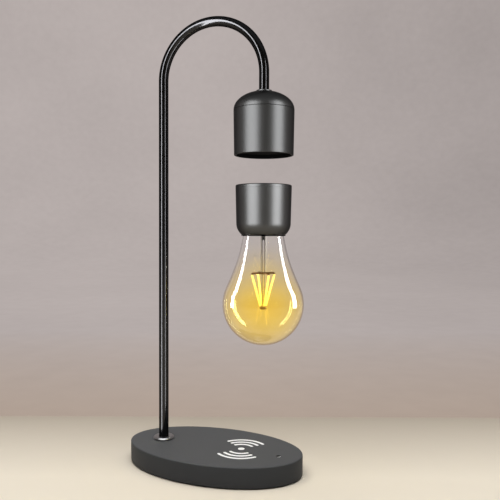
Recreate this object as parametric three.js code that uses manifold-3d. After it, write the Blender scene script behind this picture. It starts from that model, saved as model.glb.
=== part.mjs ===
// A levitating bulb lamp: an oval charging base, a bent tube stem, a bell-shaped magnet head,
// and a bulb with a metal cap that floats below the head.
// Millimetres, +Z up. The origin is the middle of the oval at table level, and the head is towards +X.
import * as THREE from "three";
import { mergeVertices } from "three/addons/utils/BufferGeometryUtils.js";
import Module from "manifold-3d";

const wasm = await Module();
wasm.setup();

// Clearances
const fit = 0.3; // round a piece that passes through or sits in another
const seat = 0.1; // between flat faces that rest on each other

// Facets
const wideSides = 32;
const smallSides = 16;
const ovalSides = 56;
const innerSides = 20;
const postSides = 10;

// Base housing
const baseLength = 140;
const baseWidth = 80;
const baseTop = 16;
const baseWall = 2.2;
const baseRoof = 2.2;
const baseEdge = 0.8;
const joinDepth = 0.2; // how deep a boss, post or chip runs into what carries it
const footProud = 0.8;
const coverThickness = 2;
const coverInset = 0.4;

// Feet and cover screws
const footRadius = 5.5;
const footRecess = 1;
const footEndInset = 22;
const footSideInset = 23;
const footChamfer = 0.4;
const screwInset = 7.2; // the screws stand on an oval this far inside the base
const screwTurn = 56;
const screwRadius = 1.5;
const screwHeadRadius = 2.7;
const screwHeadHeight = 0.9;
const screwLength = 7.5;
const bossRadius = 3.2;

// Inside the base
const weightEndGap = 8.5;
const weightSideGap = 6.5;
const weightThickness = 3;
const weightToBoard = 2;
const markInset = 47.5; // from the end of the base under the bulb to the middle of the charging coil
const chargeCoilBore = 9;
const chargeCoilRadius = 20.5;
const chargeCoilThickness = 1.5;
const ferriteRadius = 21.5;
const ferriteThickness = 1.2;
const boardThickness = 1.6;
const boardGap = 5; // from the stem's washer to the control board
const boardLength = 16;
const boardSideInset = 19;
const boardDrop = 4.7;
const boardPostInset = 3.5;
const boardPostRadius = 2;
const lowChipSize = 4.8;
const lowChipHeight = 1.5;
const lowChipY = 7;
const coinRadius = 2.6;
const connectorLength = 5;
const connectorWidth = 8;
const connectorHeight = 3.5;

// Power inlet
const jackLength = 12.5;
const jackWidth = 9;
const jackHeight = 9;
const jackBore = 3.15;
const jackBoreDepth = 10;
const jackPinRadius = 1;
const jackPinInset = 1.2;
const jackSetback = 0.8;
const inletRadius = 4;

// Indicator
const lensEndInset = 16.6;
const lensY = -4;
const lensRadius = 1.6;
const lensRimRadius = 2.2;
const lensRimHeight = 1.2;
const lensInset = 0.3;
const lightBoardSize = 10;
const lightBoardThickness = 1.2;
const lightSize = 3;
const lightHeight = 1.1;
const lightPostOffset = 3.8;
const lightPostRadius = 1.2;

// Stem
const stemEndInset = 26;
const stemReach = 83.6; // from the pole to the axis of the head
const stemRadius = 3.75;
const stemBore = 2.75;
const bendTop = 340;
const flangeRadius = 8.2;
const flangeThickness = 2;
const flangeEdge = 0.7;
const washerRadius = 8;
const washerThickness = 1;
const nutFlats = 13;
const nutHeight = 4;
const stemTail = 0.6;
const wireRadius = 1.2;
const wireBend = 4;

// Head
const headDrop = 60.9; // from the level where the bend starts to the mouth
const mouthRadius = 22;
const shoulderRadius = 22.5;
const headSide = 33;
const domeHeight = 14;
const headWall = 1.6;
const headFlatRadius = 6;
const nutSeatRadius = 7.5;
const collarHeight = 1;
const headNutFlats = 11;
const headNutHeight = 4;
const headTail = 2;
const facePlateInset = 2.5;
const facePlateThickness = 2;
const sendCoilBore = 10;
const sendCoilRadius = 18.5;
const sendCoilThickness = 2;
const coreRadius = 6;
const coreProud = 2;
const bobbinWall = 1.2;
const bobbinFlange = 1.5;
const bobbinLength = 14;
const bobbinTopRadius = 14;
const windingRadius = 13.6;
const biasMagnetRadius = 14;
const biasMagnetHeight = 5;
const headBoardRadius = 18.5;
const plugSize = 6;
const plugHeight = 3;
const headChipX = 10;
const headChipWidth = 5;

// Floating cap
const floatGap = 21.8; // free air between the head and the cap
const capLowRadius = 20.2;
const capTaper = 0.6;
const capWall = 1.3;
const capSide = 28.2; // from the top of the cap to where its lower curve starts
const capCurveRadius = 11;
const neckToMouth = 1.9;
const lidHeight = 2.5;
const lidEdge = 1.4;
const lidSkirt = 2;
const lidSkirtWall = 1.2;
const magnetRadius = 8.5;
const magnetHeight = 9.7;
const pocketWall = 1.2;
const pocketFloor = 1.5;
const receiveCoilThickness = 1.6;
const receiveCoilGap = 0.7; // from the cap's wall
const carrierFlange = 1.6;
const carrierPostCount = 3;
const carrierPostRadius = 1.5;
const carrierPostGap = 3.4;
const carrierPostLength = 9.5;
const receiveBoardGap = 1.4;
const chipSize = 7;
const chipHeight = 2.4;
const smallChipSize = 5;
const smallChipY = 9;
const gasketWall = 0.6;
const gasketHeight = 1;
const holderHeight = 4;

// Bulb
const neckInsert = 2.7; // how far the neck stands into the cap above the start of its curve
const neckStraight = 6;
const neckRise = 56.8; // from the middle of the globe to the straight neck
const globeRadius = 30.3;
const glassWall = 0.8;
const globeEndAngle = 24;
const neckRadius = 14.6;
const neckPull = 20;
const globePull = 14;
const neckLean = 2;
const rodRadius = 1.25;
const flareHeight = 1.2;
const flareDepth = 11.5;
const flareWaist = 3.3;
const flareWaistDrop = 6.9;
const flareBell = 6.6;
const supportRise = 23; // from the middle of the globe
const supportReach = 9.3;
const supportHub = 1.9;
const armRadius = 0.45;
const hubDrop = 3; // below the middle of the globe
const hubRadius = 2.6;
const hubHeight = 1.8;
const filamentRadius = 0.9;
const filamentGap = 0.3;
const filamentCount = 4;
const filamentTurn = 45;
const leadRadius = 0.3;

// Levels that follow from the sizes above
const footX = baseLength / 2 - footEndInset;
const footY = baseWidth / 2 - footSideInset;
const screwAngle = THREE.MathUtils.degToRad(screwTurn);
const screwX = (baseLength / 2 - screwInset) * Math.cos(screwAngle);
const screwY = (baseWidth / 2 - screwInset) * Math.sin(screwAngle);
const lensX = baseLength / 2 - lensEndInset;
const markX = baseLength / 2 - markInset;
const stemX = -baseLength / 2 + stemEndInset;
const boardLeft = stemX + washerRadius + boardGap;
const boardWidth = baseWidth - 2 * (baseWall + boardSideInset);
const weightLeft = boardLeft + connectorLength + weightToBoard;
const weightLength = baseLength - 2 * (baseWall + weightEndGap);
const weightWidth = baseWidth - 2 * (baseWall + weightSideGap);
const shellBottom = footProud;
const roofUnder = baseTop - baseRoof;
const coverBottom = shellBottom + coverInset;
const coverTop = coverBottom + coverThickness;
const boardTop = roofUnder - boardDrop;
const boardBottom = boardTop - boardThickness;
const coilTop = roofUnder - seat;
const coilBottom = coilTop - chargeCoilThickness;
const jackFaceX = -baseLength / 2 + baseWall + jackSetback;
const jackZ = roofUnder - fit - seat - jackHeight / 2;
const lensRimTop = roofUnder - seat;
const lightBoardTop = lensRimTop - lensRimHeight - 2 * seat - lightHeight;
const washerTop = roofUnder - seat;
const stemNutTop = washerTop - washerThickness - seat;
const stemBottom = stemNutTop - nutHeight - stemTail;
const stemHole = stemRadius + fit;

const headX = stemX + stemReach;
const bendRadius = stemReach / 2;
const bendX = stemX + bendRadius;
const bendZ = bendTop - bendRadius;
const mouthZ = bendZ - headDrop;
const shoulderZ = mouthZ + headSide;
const onEllipse = (radius, across, up) => up * Math.sqrt(1 - (radius / across) ** 2);
const headTop = shoulderZ + onEllipse(headFlatRadius, shoulderRadius, domeHeight);
const domeInside = shoulderZ + onEllipse(nutSeatRadius, shoulderRadius - headWall, domeHeight - headWall);
const headNutTop = domeInside - seat;
const headTubeEnd = headNutTop - headNutHeight - headTail;
const facePlateTop = mouthZ + facePlateInset + facePlateThickness;
const sendCoilTop = facePlateTop + seat + sendCoilThickness;
const bobbinBottom = sendCoilTop + seat;
const bobbinTop = bobbinBottom + 2 * bobbinFlange + bobbinLength;
const biasMagnetTop = bobbinTop + seat + biasMagnetHeight;
const headBoardBottom = biasMagnetTop + fit;
const headBoardTop = headBoardBottom + boardThickness;
const plugTop = headBoardTop + plugHeight;

const capTop = mouthZ - floatGap;
const capCurveZ = capTop - capSide;
const neckTop = capCurveZ + neckInsert;
const neckZ = neckTop - neckStraight;
const globeZ = neckZ - neckRise;
const supportZ = globeZ + supportRise;
const hubZ = globeZ - hubDrop;
const lidBottom = capTop - lidHeight;
const skirtBottom = lidBottom - lidSkirt;
const capTopRadius = capLowRadius + capTaper;
const capMouthRadius = neckRadius + neckToMouth;
const capBore = capLowRadius - capWall;
const receiveCoilRadius = capBore - receiveCoilGap;
const receiveBoardRadius = capBore - receiveBoardGap;
const carrierPostCircle = capBore - carrierPostRadius - carrierPostGap;
const receiveCoilTop = skirtBottom - seat;
const carrierTop = receiveCoilTop - receiveCoilThickness - seat;
const magnetTop = lidBottom - fit;
const magnetBottom = magnetTop - magnetHeight;
const pocketRadius = magnetRadius + fit;
const pocketBottom = magnetBottom - fit;
const postBottom = carrierTop - carrierFlange - carrierPostLength;
const receiveBoardTop = postBottom - seat;

// Materials
const finish = (color, roughness, metalness = 0) =>
  new THREE.MeshStandardMaterial({ color, roughness, metalness });
const basePlastic = finish(0x4a4a4b, 0.55);
const rubber = finish(0x151515, 0.9);
const steel = finish(0x9a9a9a, 0.4, 1);
const blackChrome = finish(0x1b1b1d, 0.15, 1);
const gunmetal = finish(0x6a6a6c, 0.32, 1);
const blackPlastic = finish(0x070707, 0.6);
const copper = finish(0xb06a3a, 0.4, 1);
const iron = finish(0x5a5a5c, 0.5, 1);
const nickel = finish(0xb9b9bb, 0.25, 1);
const ferrite = finish(0x2c2c2e, 0.8);
const circuitBoard = finish(0x1c5a34, 0.6);
const whitePlastic = finish(0xd8d5cc, 0.5);
const wireSheath = finish(0x202020, 0.7);
const clear = finish(0xf4f1ea, 0.05);
clear.transparent = true;
clear.opacity = 0.3;
const glow = finish(0xffd95a, 0.4);
glow.emissive = new THREE.Color(0xffc838);

// Shapes. A profile is a list of [radius, height] pairs, anticlockwise, turned about Z.
function turned(profile, sides = wideSides) {
  const points = profile.map(([radius, z]) => new THREE.Vector2(radius, z));
  return new THREE.LatheGeometry(points, sides).rotateX(Math.PI / 2);
}

function disc(radius, low, high, sides = smallSides) {
  return turned([[0, low], [radius, low], [radius, high], [0, high]], sides);
}

function ring(bore, radius, low, high, sides = smallSides) {
  return turned([[bore, low], [radius, low], [radius, high], [bore, high], [bore, low]], sides);
}

function ovalPoints(length, width, count) {
  return Array.from({ length: count }, (_, i) => {
    const angle = (2 * Math.PI * i) / count;
    return new THREE.Vector2((length / 2) * Math.cos(angle), (width / 2) * Math.sin(angle));
  });
}

function oval(length, width, low, high, edge = 0) {
  return new THREE.ExtrudeGeometry(new THREE.Shape(ovalPoints(length, width, ovalSides)), {
    depth: high - low - 2 * edge,
    bevelEnabled: edge > 0,
    bevelSize: edge,
    bevelThickness: edge,
    bevelOffset: -edge,
    bevelSegments: 3,
  }).translate(0, 0, low + edge);
}

function block(x, y, z) {
  return new THREE.BoxGeometry(x[1] - x[0], y[1] - y[0], z[1] - z[0]).translate(
    (x[0] + x[1]) / 2,
    (y[0] + y[1]) / 2,
    (z[0] + z[1]) / 2,
  );
}

const around = (middle, size) => [middle - size / 2, middle + size / 2];

// Joining and cutting
function solid(geometry) {
  const bare = geometry.index ? geometry.toNonIndexed() : geometry.clone();
  bare.deleteAttribute("normal");
  bare.deleteAttribute("uv");
  const merged = mergeVertices(bare, 1e-4);
  return new wasm.Manifold(
    new wasm.Mesh({
      numProp: 3,
      vertProperties: merged.attributes.position.array,
      triVerts: new Uint32Array(merged.index.array),
    }),
  );
}

function shaped(body, added = [], cut = []) {
  let result = solid(body);
  for (const geometry of added) result = result.add(solid(geometry));
  for (const geometry of cut) result = result.subtract(solid(geometry));
  const made = result.getMesh();
  const geometry = new THREE.BufferGeometry();
  geometry.setAttribute("position", new THREE.BufferAttribute(made.vertProperties, 3));
  geometry.setIndex(new THREE.BufferAttribute(made.triVerts, 1));
  geometry.computeVertexNormals();
  return geometry;
}

function piece(name, geometry, material) {
  const mesh = new THREE.Mesh(geometry, material);
  mesh.name = name;
  return mesh;
}

// The four corners of a pattern that is the same left and right, front and back
const corners = (x, y) => [[x, y], [-x, y], [-x, -y], [x, -y]];

// Routes of the tube and its wiring, in the plane of the pole and the head
class Arc extends THREE.Curve {
  constructor(x, z, reachX, reachZ, from, to) {
    super();
    Object.assign(this, { x, z, reachX, reachZ, from, to });
  }
  getPoint(t, target = new THREE.Vector3()) {
    const angle = this.from + (this.to - this.from) * t;
    return target.set(
      this.x + this.reachX * Math.cos(angle),
      0,
      this.z + this.reachZ * Math.sin(angle),
    );
  }
}

const run = (x0, z0, x1, z1) =>
  new THREE.LineCurve3(new THREE.Vector3(x0, 0, z0), new THREE.Vector3(x1, 0, z1));

// Several curves end to end, each cut into its own number of steps, so a straight run needs one
class Route extends THREE.Curve {
  constructor(parts) {
    super();
    this.parts = parts;
    this.steps = parts.reduce((sum, [, steps]) => sum + steps, 0);
  }
  getUtoTmapping(u) {
    return u;
  }
  getPoint(t, target = new THREE.Vector3()) {
    let along = t * this.steps;
    for (const [curve, steps] of this.parts) {
      if (along <= steps) return target.copy(curve.getPoint(along / steps));
      along -= steps;
    }
    return target.copy(this.parts.at(-1)[0].getPoint(1));
  }
}

function tubeAlong(route, radius, bore, sides) {
  const section = new THREE.Shape(ovalPoints(2 * radius, 2 * radius, sides));
  if (bore > 0) section.holes.push(new THREE.Path(ovalPoints(2 * bore, 2 * bore, sides)));
  return new THREE.ExtrudeGeometry(section, { steps: route.steps, extrudePath: route });
}

const bend = (steps) => [new Arc(bendX, bendZ, bendRadius, bendRadius, Math.PI, 0), steps];

// Base
function baseShell() {
  const added = [];
  const cut = [];
  const below = shellBottom - 1;
  const body = shaped(oval(baseLength, baseWidth, shellBottom, baseTop, baseEdge), [], [
    oval(baseLength - 2 * baseWall, baseWidth - 2 * baseWall, below, roofUnder),
  ]);
  for (const [x, y] of corners(screwX, screwY)) {
    added.push(disc(bossRadius, coverTop + seat, roofUnder + joinDepth).translate(x, y, 0));
    cut.push(disc(screwRadius + fit, below, coverTop + screwLength).translate(x, y, 0));
  }
  const boardX = boardLeft + boardLength / 2;
  for (const [x, y] of corners(boardLength / 2 - boardPostInset, boardWidth / 2 - boardPostInset))
    added.push(
      disc(boardPostRadius, boardTop + seat, roofUnder + joinDepth, postSides).translate(boardX + x, y, 0),
    );
  for (const side of [-1, 1])
    added.push(
      disc(lightPostRadius, lightBoardTop + seat, roofUnder + joinDepth, postSides).translate(
        lensX,
        lensY + side * lightPostOffset,
        0,
      ),
    );
  cut.push(disc(stemHole, below, baseTop + 1).translate(stemX, 0, 0));
  cut.push(disc(lensRadius + fit, below, baseTop + 1).translate(lensX, lensY, 0));
  cut.push(
    disc(inletRadius, 0, 2 * baseWall, smallSides)
      .rotateY(Math.PI / 2)
      .translate(-baseLength / 2 - baseWall / 2, 0, jackZ),
  );
  return shaped(body, added, cut);
}

function bottomCover() {
  const inner = 2 * (baseWall + fit);
  const cut = [];
  for (const [x, y] of corners(footX, footY))
    cut.push(disc(footRadius + fit, coverBottom - 1, coverBottom + footRecess).translate(x, y, 0));
  for (const [x, y] of corners(screwX, screwY)) {
    const hole = screwRadius + fit;
    cut.push(disc(hole, coverBottom - 1, coverTop + 1, 16).translate(x, y, 0));
    const recess = coverBottom + seat + screwHeadHeight + seat;
    cut.push(disc(screwHeadRadius + fit, coverBottom - 1, recess, 16).translate(x, y, 0));
  }
  return shaped(oval(baseLength - inner, baseWidth - inner, coverBottom, coverTop), [], cut);
}

function rubberFoot() {
  const top = coverBottom + footRecess - seat;
  return turned(
    [[0, 0], [footRadius - footChamfer, 0], [footRadius, footChamfer], [footRadius, top], [0, top]],
    smallSides,
  );
}

function coverScrew() {
  const low = coverBottom + seat;
  const neck = low + screwHeadHeight;
  const tip = coverTop + screwLength - seat;
  return turned(
    [
      [0, low],
      [screwHeadRadius, low],
      [screwHeadRadius, neck],
      [screwRadius, neck],
      [screwRadius, tip],
      [0, tip],
    ],
    postSides,
  );
}

function baseWeight() {
  const low = coverTop + seat;
  const high = low + weightThickness;
  const cut = corners(screwX, screwY).map(([x, y]) =>
    disc(bossRadius + fit, low - 1, high + 1, 16).translate(x, y, 0),
  );
  cut.push(block([-baseLength, weightLeft], [-baseWidth, baseWidth], [low - 1, high + 1]));
  return shaped(oval(weightLength, weightWidth, low, high), [], cut);
}

function controlBoard() {
  const across = around(0, boardWidth);
  const along = [boardLeft, boardLeft + boardLength];
  const middle = boardLeft + boardLength / 2;
  const chip = [boardTop - joinDepth, boardTop + lowChipHeight];
  const chipAcross = around(middle, lowChipSize);
  return shaped(block(along, across, [boardBottom, boardTop]), [
    block([along[0], along[0] + connectorLength], around(0, connectorWidth), [
      boardBottom - connectorHeight,
      boardBottom + joinDepth,
    ]),
    block(chipAcross, around(-lowChipY, lowChipSize), chip),
    block(chipAcross, around(lowChipY, lowChipSize), chip),
    disc(coinRadius, ...chip, postSides).translate(middle, 0, 0),
  ]);
}

function dcJack() {
  const back = jackFaceX + jackLength;
  const floor = jackFaceX + jackBoreDepth;
  const along = (radius, from, to) =>
    disc(radius, from, to, smallSides).rotateY(Math.PI / 2).translate(0, 0, jackZ);
  const body = shaped(block([jackFaceX, back], around(0, jackWidth), around(jackZ, jackHeight)), [], [
    along(jackBore, jackFaceX - 1, floor),
  ]);
  return shaped(body, [along(jackPinRadius, jackFaceX + jackPinInset, floor + joinDepth)]);
}

function indicatorLens() {
  const top = baseTop - lensInset;
  const low = lensRimTop - lensRimHeight;
  return turned(
    [
      [0, low],
      [lensRimRadius, low],
      [lensRimRadius, lensRimTop],
      [lensRadius, lensRimTop],
      [lensRadius, top],
      [0, top],
    ],
    smallSides,
  );
}

function indicatorBoard() {
  const low = lightBoardTop - lightBoardThickness;
  const half = around(0, lightBoardSize);
  const light = around(0, lightSize);
  return shaped(block(half, half, [low, lightBoardTop]), [
    block(light, light, [lightBoardTop - joinDepth, lightBoardTop + lightHeight]),
  ]);
}

function hexNut(flats, low, high) {
  const across = flats / 2 / Math.cos(Math.PI / 6);
  return shaped(disc(across, low, high, 6), [], [disc(stemHole, low - 1, high + 1)]);
}

function stemFlange() {
  const low = baseTop + seat;
  const high = low + flangeThickness;
  return turned(
    [
      [stemHole, low],
      [flangeRadius, low],
      [flangeRadius, high - flangeEdge],
      [flangeRadius - flangeEdge, high],
      [stemHole, high],
      [stemHole, low],
    ],
    24,
  );
}

function baseGroup() {
  const group = new THREE.Group();
  group.add(piece("base_shell", baseShell(), basePlastic));
  group.add(piece("bottom_cover", bottomCover(), blackPlastic));
  corners(footX, footY).forEach(([x, y], i) => {
    const foot = piece(`rubber_foot_${i + 1}`, rubberFoot(), rubber);
    foot.position.set(x, y, 0);
    group.add(foot);
  });
  corners(screwX, screwY).forEach(([x, y], i) => {
    const screw = piece(`cover_screw_${i + 1}`, coverScrew(), steel);
    screw.position.set(x, y, 0);
    group.add(screw);
  });
  group.add(piece("base_weight", baseWeight(), steel));
  const coil = ring(chargeCoilBore, chargeCoilRadius, coilBottom, coilTop, innerSides);
  const chargingCoil = piece("charging_coil", coil, copper);
  const shieldTop = coilBottom - seat;
  const shieldDisc = disc(ferriteRadius, shieldTop - ferriteThickness, shieldTop, innerSides);
  const shield = piece("ferrite_disc", shieldDisc, ferrite);
  chargingCoil.position.x = markX;
  shield.position.x = markX;
  group.add(chargingCoil, shield);
  group.add(piece("control_board", controlBoard(), circuitBoard));
  group.add(piece("dc_jack", dcJack(), blackPlastic));
  const light = new THREE.Group();
  light.position.set(lensX, lensY, 0);
  light.add(piece("indicator_lens", indicatorLens(), clear));
  light.add(piece("indicator_board", indicatorBoard(), circuitBoard));
  group.add(light);
  const foot = new THREE.Group();
  foot.position.x = stemX;
  foot.add(piece("stem_flange", stemFlange(), blackChrome));
  const washer = ring(stemHole, washerRadius, washerTop - washerThickness, washerTop);
  foot.add(piece("stem_washer", washer, steel));
  foot.add(piece("stem_nut", hexNut(nutFlats, stemNutTop - nutHeight, stemNutTop), steel));
  group.add(foot);
  return group;
}

// Stem
function stemGroup() {
  const group = new THREE.Group();
  const tubeRoute = new Route([
    [run(stemX, stemBottom, stemX, bendZ), 1],
    bend(22),
    [run(headX, bendZ, headX, headTubeEnd), 1],
  ]);
  group.add(piece("stem_tube", tubeAlong(tubeRoute, stemRadius, stemBore, 16), blackChrome));
  const wireZ = boardBottom - connectorHeight / 2;
  const wireRoute = new Route([
    [run(boardLeft - fit, wireZ, stemX + wireBend, wireZ), 1],
    [new Arc(stemX + wireBend, wireZ + wireBend, wireBend, wireBend, -Math.PI / 2, -Math.PI), 5],
    [run(stemX, wireZ + wireBend, stemX, bendZ), 1],
    bend(18),
    [run(headX, bendZ, headX, plugTop + fit), 1],
  ]);
  group.add(piece("stem_wiring", tubeAlong(wireRoute, wireRadius, 0, 8), wireSheath));
  return group;
}

// Head
function quarterDome(across, up, low, endRadius, steps) {
  const endAngle = Math.acos(endRadius / across);
  return Array.from({ length: steps + 1 }, (_, i) => {
    const angle = (endAngle * i) / steps;
    return [across * Math.cos(angle), low + up * Math.sin(angle)];
  });
}

function headShell() {
  const outside = quarterDome(shoulderRadius, domeHeight, shoulderZ, headFlatRadius, 7);
  const inside = quarterDome(shoulderRadius - headWall, domeHeight - headWall, shoulderZ, nutSeatRadius, 5);
  const start = [mouthRadius - headWall, mouthZ];
  return turned([
    start,
    [mouthRadius, mouthZ],
    ...outside,
    [stemHole, headTop],
    [stemHole, domeInside],
    ...inside.reverse(),
    start,
  ]);
}

function magnetBobbin() {
  const bore = coreRadius + fit;
  const hub = bore + bobbinWall;
  const wide = mouthRadius - headWall - fit;
  const low = bobbinBottom + bobbinFlange;
  const high = bobbinTop - bobbinFlange;
  return turned(
    [
      [bore, bobbinBottom],
      [wide, bobbinBottom],
      [wide, low],
      [hub, low],
      [hub, high],
      [bobbinTopRadius, high],
      [bobbinTopRadius, bobbinTop],
      [bore, bobbinTop],
      [bore, bobbinBottom],
    ],
    innerSides,
  );
}

function headBoard() {
  const low = headBoardTop - joinDepth;
  const chip = [low, headBoardTop + chipHeight];
  const across = around(0, chipSize);
  return shaped(disc(headBoardRadius, headBoardBottom, headBoardTop, innerSides), [
    block(around(0, plugSize), around(0, plugSize), [low, plugTop]),
    block(around(-headChipX, chipSize), across, chip),
    block(around(headChipX, headChipWidth), across, chip),
  ]);
}

function headGroup() {
  const group = new THREE.Group();
  group.position.x = headX;
  const collarBottom = headTop + seat;
  const collar = ring(stemHole, headFlatRadius - seat, collarBottom, collarBottom + collarHeight);
  group.add(piece("head_shell", headShell(), gunmetal));
  group.add(piece("head_collar", collar, gunmetal));
  group.add(piece("head_nut", hexNut(headNutFlats, headNutTop - headNutHeight, headNutTop), steel));
  const plateRadius = mouthRadius - headWall - fit;
  const plateBottom = mouthZ + facePlateInset;
  group.add(piece("head_face_plate", disc(plateRadius, plateBottom, facePlateTop, wideSides), blackPlastic));
  const sendCoil = ring(sendCoilBore, sendCoilRadius, facePlateTop + seat, sendCoilTop, innerSides);
  group.add(piece("transmit_coil", sendCoil, copper));
  group.add(piece("magnet_bobbin", magnetBobbin(), whitePlastic));
  const hub = coreRadius + fit + bobbinWall;
  const windingLow = bobbinBottom + bobbinFlange + seat;
  const windingHigh = bobbinTop - bobbinFlange - seat;
  const winding = ring(hub + seat, windingRadius, windingLow, windingHigh, innerSides);
  group.add(piece("electromagnet_coil", winding, copper));
  group.add(piece("iron_core", disc(coreRadius, facePlateTop + seat, bobbinTop + coreProud), iron));
  const magnetBore = coreRadius + fit;
  const biasMagnet = ring(magnetBore, biasMagnetRadius, bobbinTop + seat, biasMagnetTop, innerSides);
  group.add(piece("bias_magnet", biasMagnet, nickel));
  group.add(piece("head_board", headBoard(), circuitBoard));
  return group;
}

// Floating unit
function capShell() {
  const centre = capLowRadius - capCurveRadius;
  const end = Math.acos((capMouthRadius - centre) / capCurveRadius);
  const curve = (radius, steps) =>
    Array.from({ length: steps + 1 }, (_, i) => {
      const angle = end * (1 - i / steps);
      return [centre + radius * Math.cos(angle), capCurveZ - radius * Math.sin(angle)];
    });
  const outside = curve(capCurveRadius, 6);
  const inside = curve(capCurveRadius - capWall, 5);
  const rim = lidBottom - seat;
  return turned([
    ...outside,
    [capTopRadius, rim],
    [capTopRadius - capWall, rim],
    ...inside.reverse(),
    outside[0],
  ]);
}

function capLid() {
  const edge = Array.from({ length: 4 }, (_, i) => {
    const angle = (Math.PI / 2) * (i / 3);
    return [
      capTopRadius - lidEdge + lidEdge * Math.cos(angle),
      capTop - lidEdge + lidEdge * Math.sin(angle),
    ];
  });
  const skirt = capBore - seat;
  return turned([
    [0, lidBottom],
    [skirt - lidSkirtWall, lidBottom],
    [skirt - lidSkirtWall, skirtBottom],
    [skirt, skirtBottom],
    [skirt, lidBottom],
    [capTopRadius, lidBottom],
    ...edge,
    [0, capTop],
  ]);
}

function magnetCarrier() {
  const wall = pocketRadius + pocketWall;
  const flange = capBore - fit;
  const floor = pocketBottom - pocketFloor;
  const rim = skirtBottom - seat;
  const body = turned(
    [
      [0, floor],
      [wall, floor],
      [wall, carrierTop - carrierFlange],
      [flange, carrierTop - carrierFlange],
      [flange, carrierTop],
      [wall, carrierTop],
      [wall, rim],
      [pocketRadius, rim],
      [pocketRadius, pocketBottom],
      [0, pocketBottom],
    ],
    innerSides,
  );
  const posts = Array.from({ length: carrierPostCount }, (_, i) =>
    disc(carrierPostRadius, postBottom, carrierTop - joinDepth, postSides)
      .translate(carrierPostCircle, 0, 0)
      .rotateZ((2 * Math.PI * i) / carrierPostCount),
  );
  return shaped(body, posts);
}

function receiverBoard() {
  const low = receiveBoardTop - boardThickness;
  const chip = [receiveBoardTop - joinDepth, receiveBoardTop + chipHeight];
  return shaped(disc(receiveBoardRadius, low, receiveBoardTop, innerSides), [
    block(around(0, chipSize), around(0, chipSize), chip),
    block(around(0, smallChipSize), around(smallChipY, smallChipSize), chip),
  ]);
}

// Globe and neck in one outline: an arc of the sphere, then one curve up to the straight neck.
function glassOutline(inset, steps) {
  const radius = globeRadius - inset;
  const end = THREE.MathUtils.degToRad(globeEndAngle);
  const arc = Array.from({ length: steps + 1 }, (_, i) => {
    const angle = -Math.PI / 2 + ((end + Math.PI / 2) * i) / steps;
    return [Math.max(0, radius * Math.cos(angle)), globeZ + radius * Math.sin(angle)];
  });
  arc[0][0] = 0;
  const from = new THREE.Vector2(...arc.at(-1));
  const away = new THREE.Vector2(-Math.sin(end), Math.cos(end)).multiplyScalar(globePull);
  const to = new THREE.Vector2(neckRadius - inset, neckZ);
  const flare = new THREE.CubicBezierCurve(
    from,
    from.clone().add(away),
    new THREE.Vector2(to.x + neckLean, to.y - neckPull),
    to,
  );
  const neck = flare.getPoints(6).slice(1).map((p) => [p.x, p.y]);
  return [...arc, ...neck, [neckRadius - inset, neckTop]];
}

function bulbGlass() {
  return turned([...glassOutline(0, 10), ...glassOutline(glassWall, 9).reverse()], 28);
}

function glassStem() {
  const flare = neckRadius - glassWall - fit;
  const low = hubZ + hubHeight / 2 + fit;
  return turned(
    [
      [0, low],
      [rodRadius, low],
      [rodRadius, neckTop - flareDepth],
      [flareWaist, neckTop - flareWaistDrop],
      [flareBell, neckTop - 2 * flareHeight],
      [flare, neckTop - flareHeight],
      [flare, neckTop],
      [0, neckTop],
    ],
    16,
  );
}

function filamentSupport() {
  const arms = Array.from({ length: filamentCount }, (_, i) =>
    disc(armRadius, rodRadius + fit, supportReach, 6)
      .rotateY(Math.PI / 2)
      .translate(0, 0, supportZ)
      .rotateZ((2 * Math.PI * i) / filamentCount),
  );
  const half = 2 * armRadius;
  const hub = ring(rodRadius + fit / 2, supportHub, supportZ - half, supportZ + half, postSides);
  return shaped(hub, arms);
}

function filament(i) {
  const topZ = supportZ - armRadius - fit - filamentGap;
  const lowZ = hubZ + hubHeight / 2 + fit + 2 * filamentGap;
  const top = new THREE.Vector3(supportReach - filamentGap, 0, topZ);
  const low = new THREE.Vector3(rodRadius + filamentRadius + fit + seat, 0, lowZ);
  const along = top.clone().sub(low);
  const stick = piece(
    `filament_${i + 1}`,
    new THREE.CylinderGeometry(filamentRadius, filamentRadius, along.length(), 8),
    glow,
  );
  stick.position.copy(low).addScaledVector(along, 0.5);
  stick.quaternion.setFromUnitVectors(new THREE.Vector3(0, 1, 0), along.normalize());
  const turn = new THREE.Group();
  turn.rotation.z = (2 * Math.PI * i) / filamentCount;
  turn.add(stick);
  return turn;
}

function leadWire(i) {
  const low = supportZ + 2 * armRadius + fit;
  const wire = piece(`lead_wire_${i + 1}`, disc(leadRadius, low, neckTop - flareDepth - fit, 6), steel);
  wire.position.x = (i === 0 ? 1 : -1) * (rodRadius + fit + leadRadius);
  return wire;
}

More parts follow.
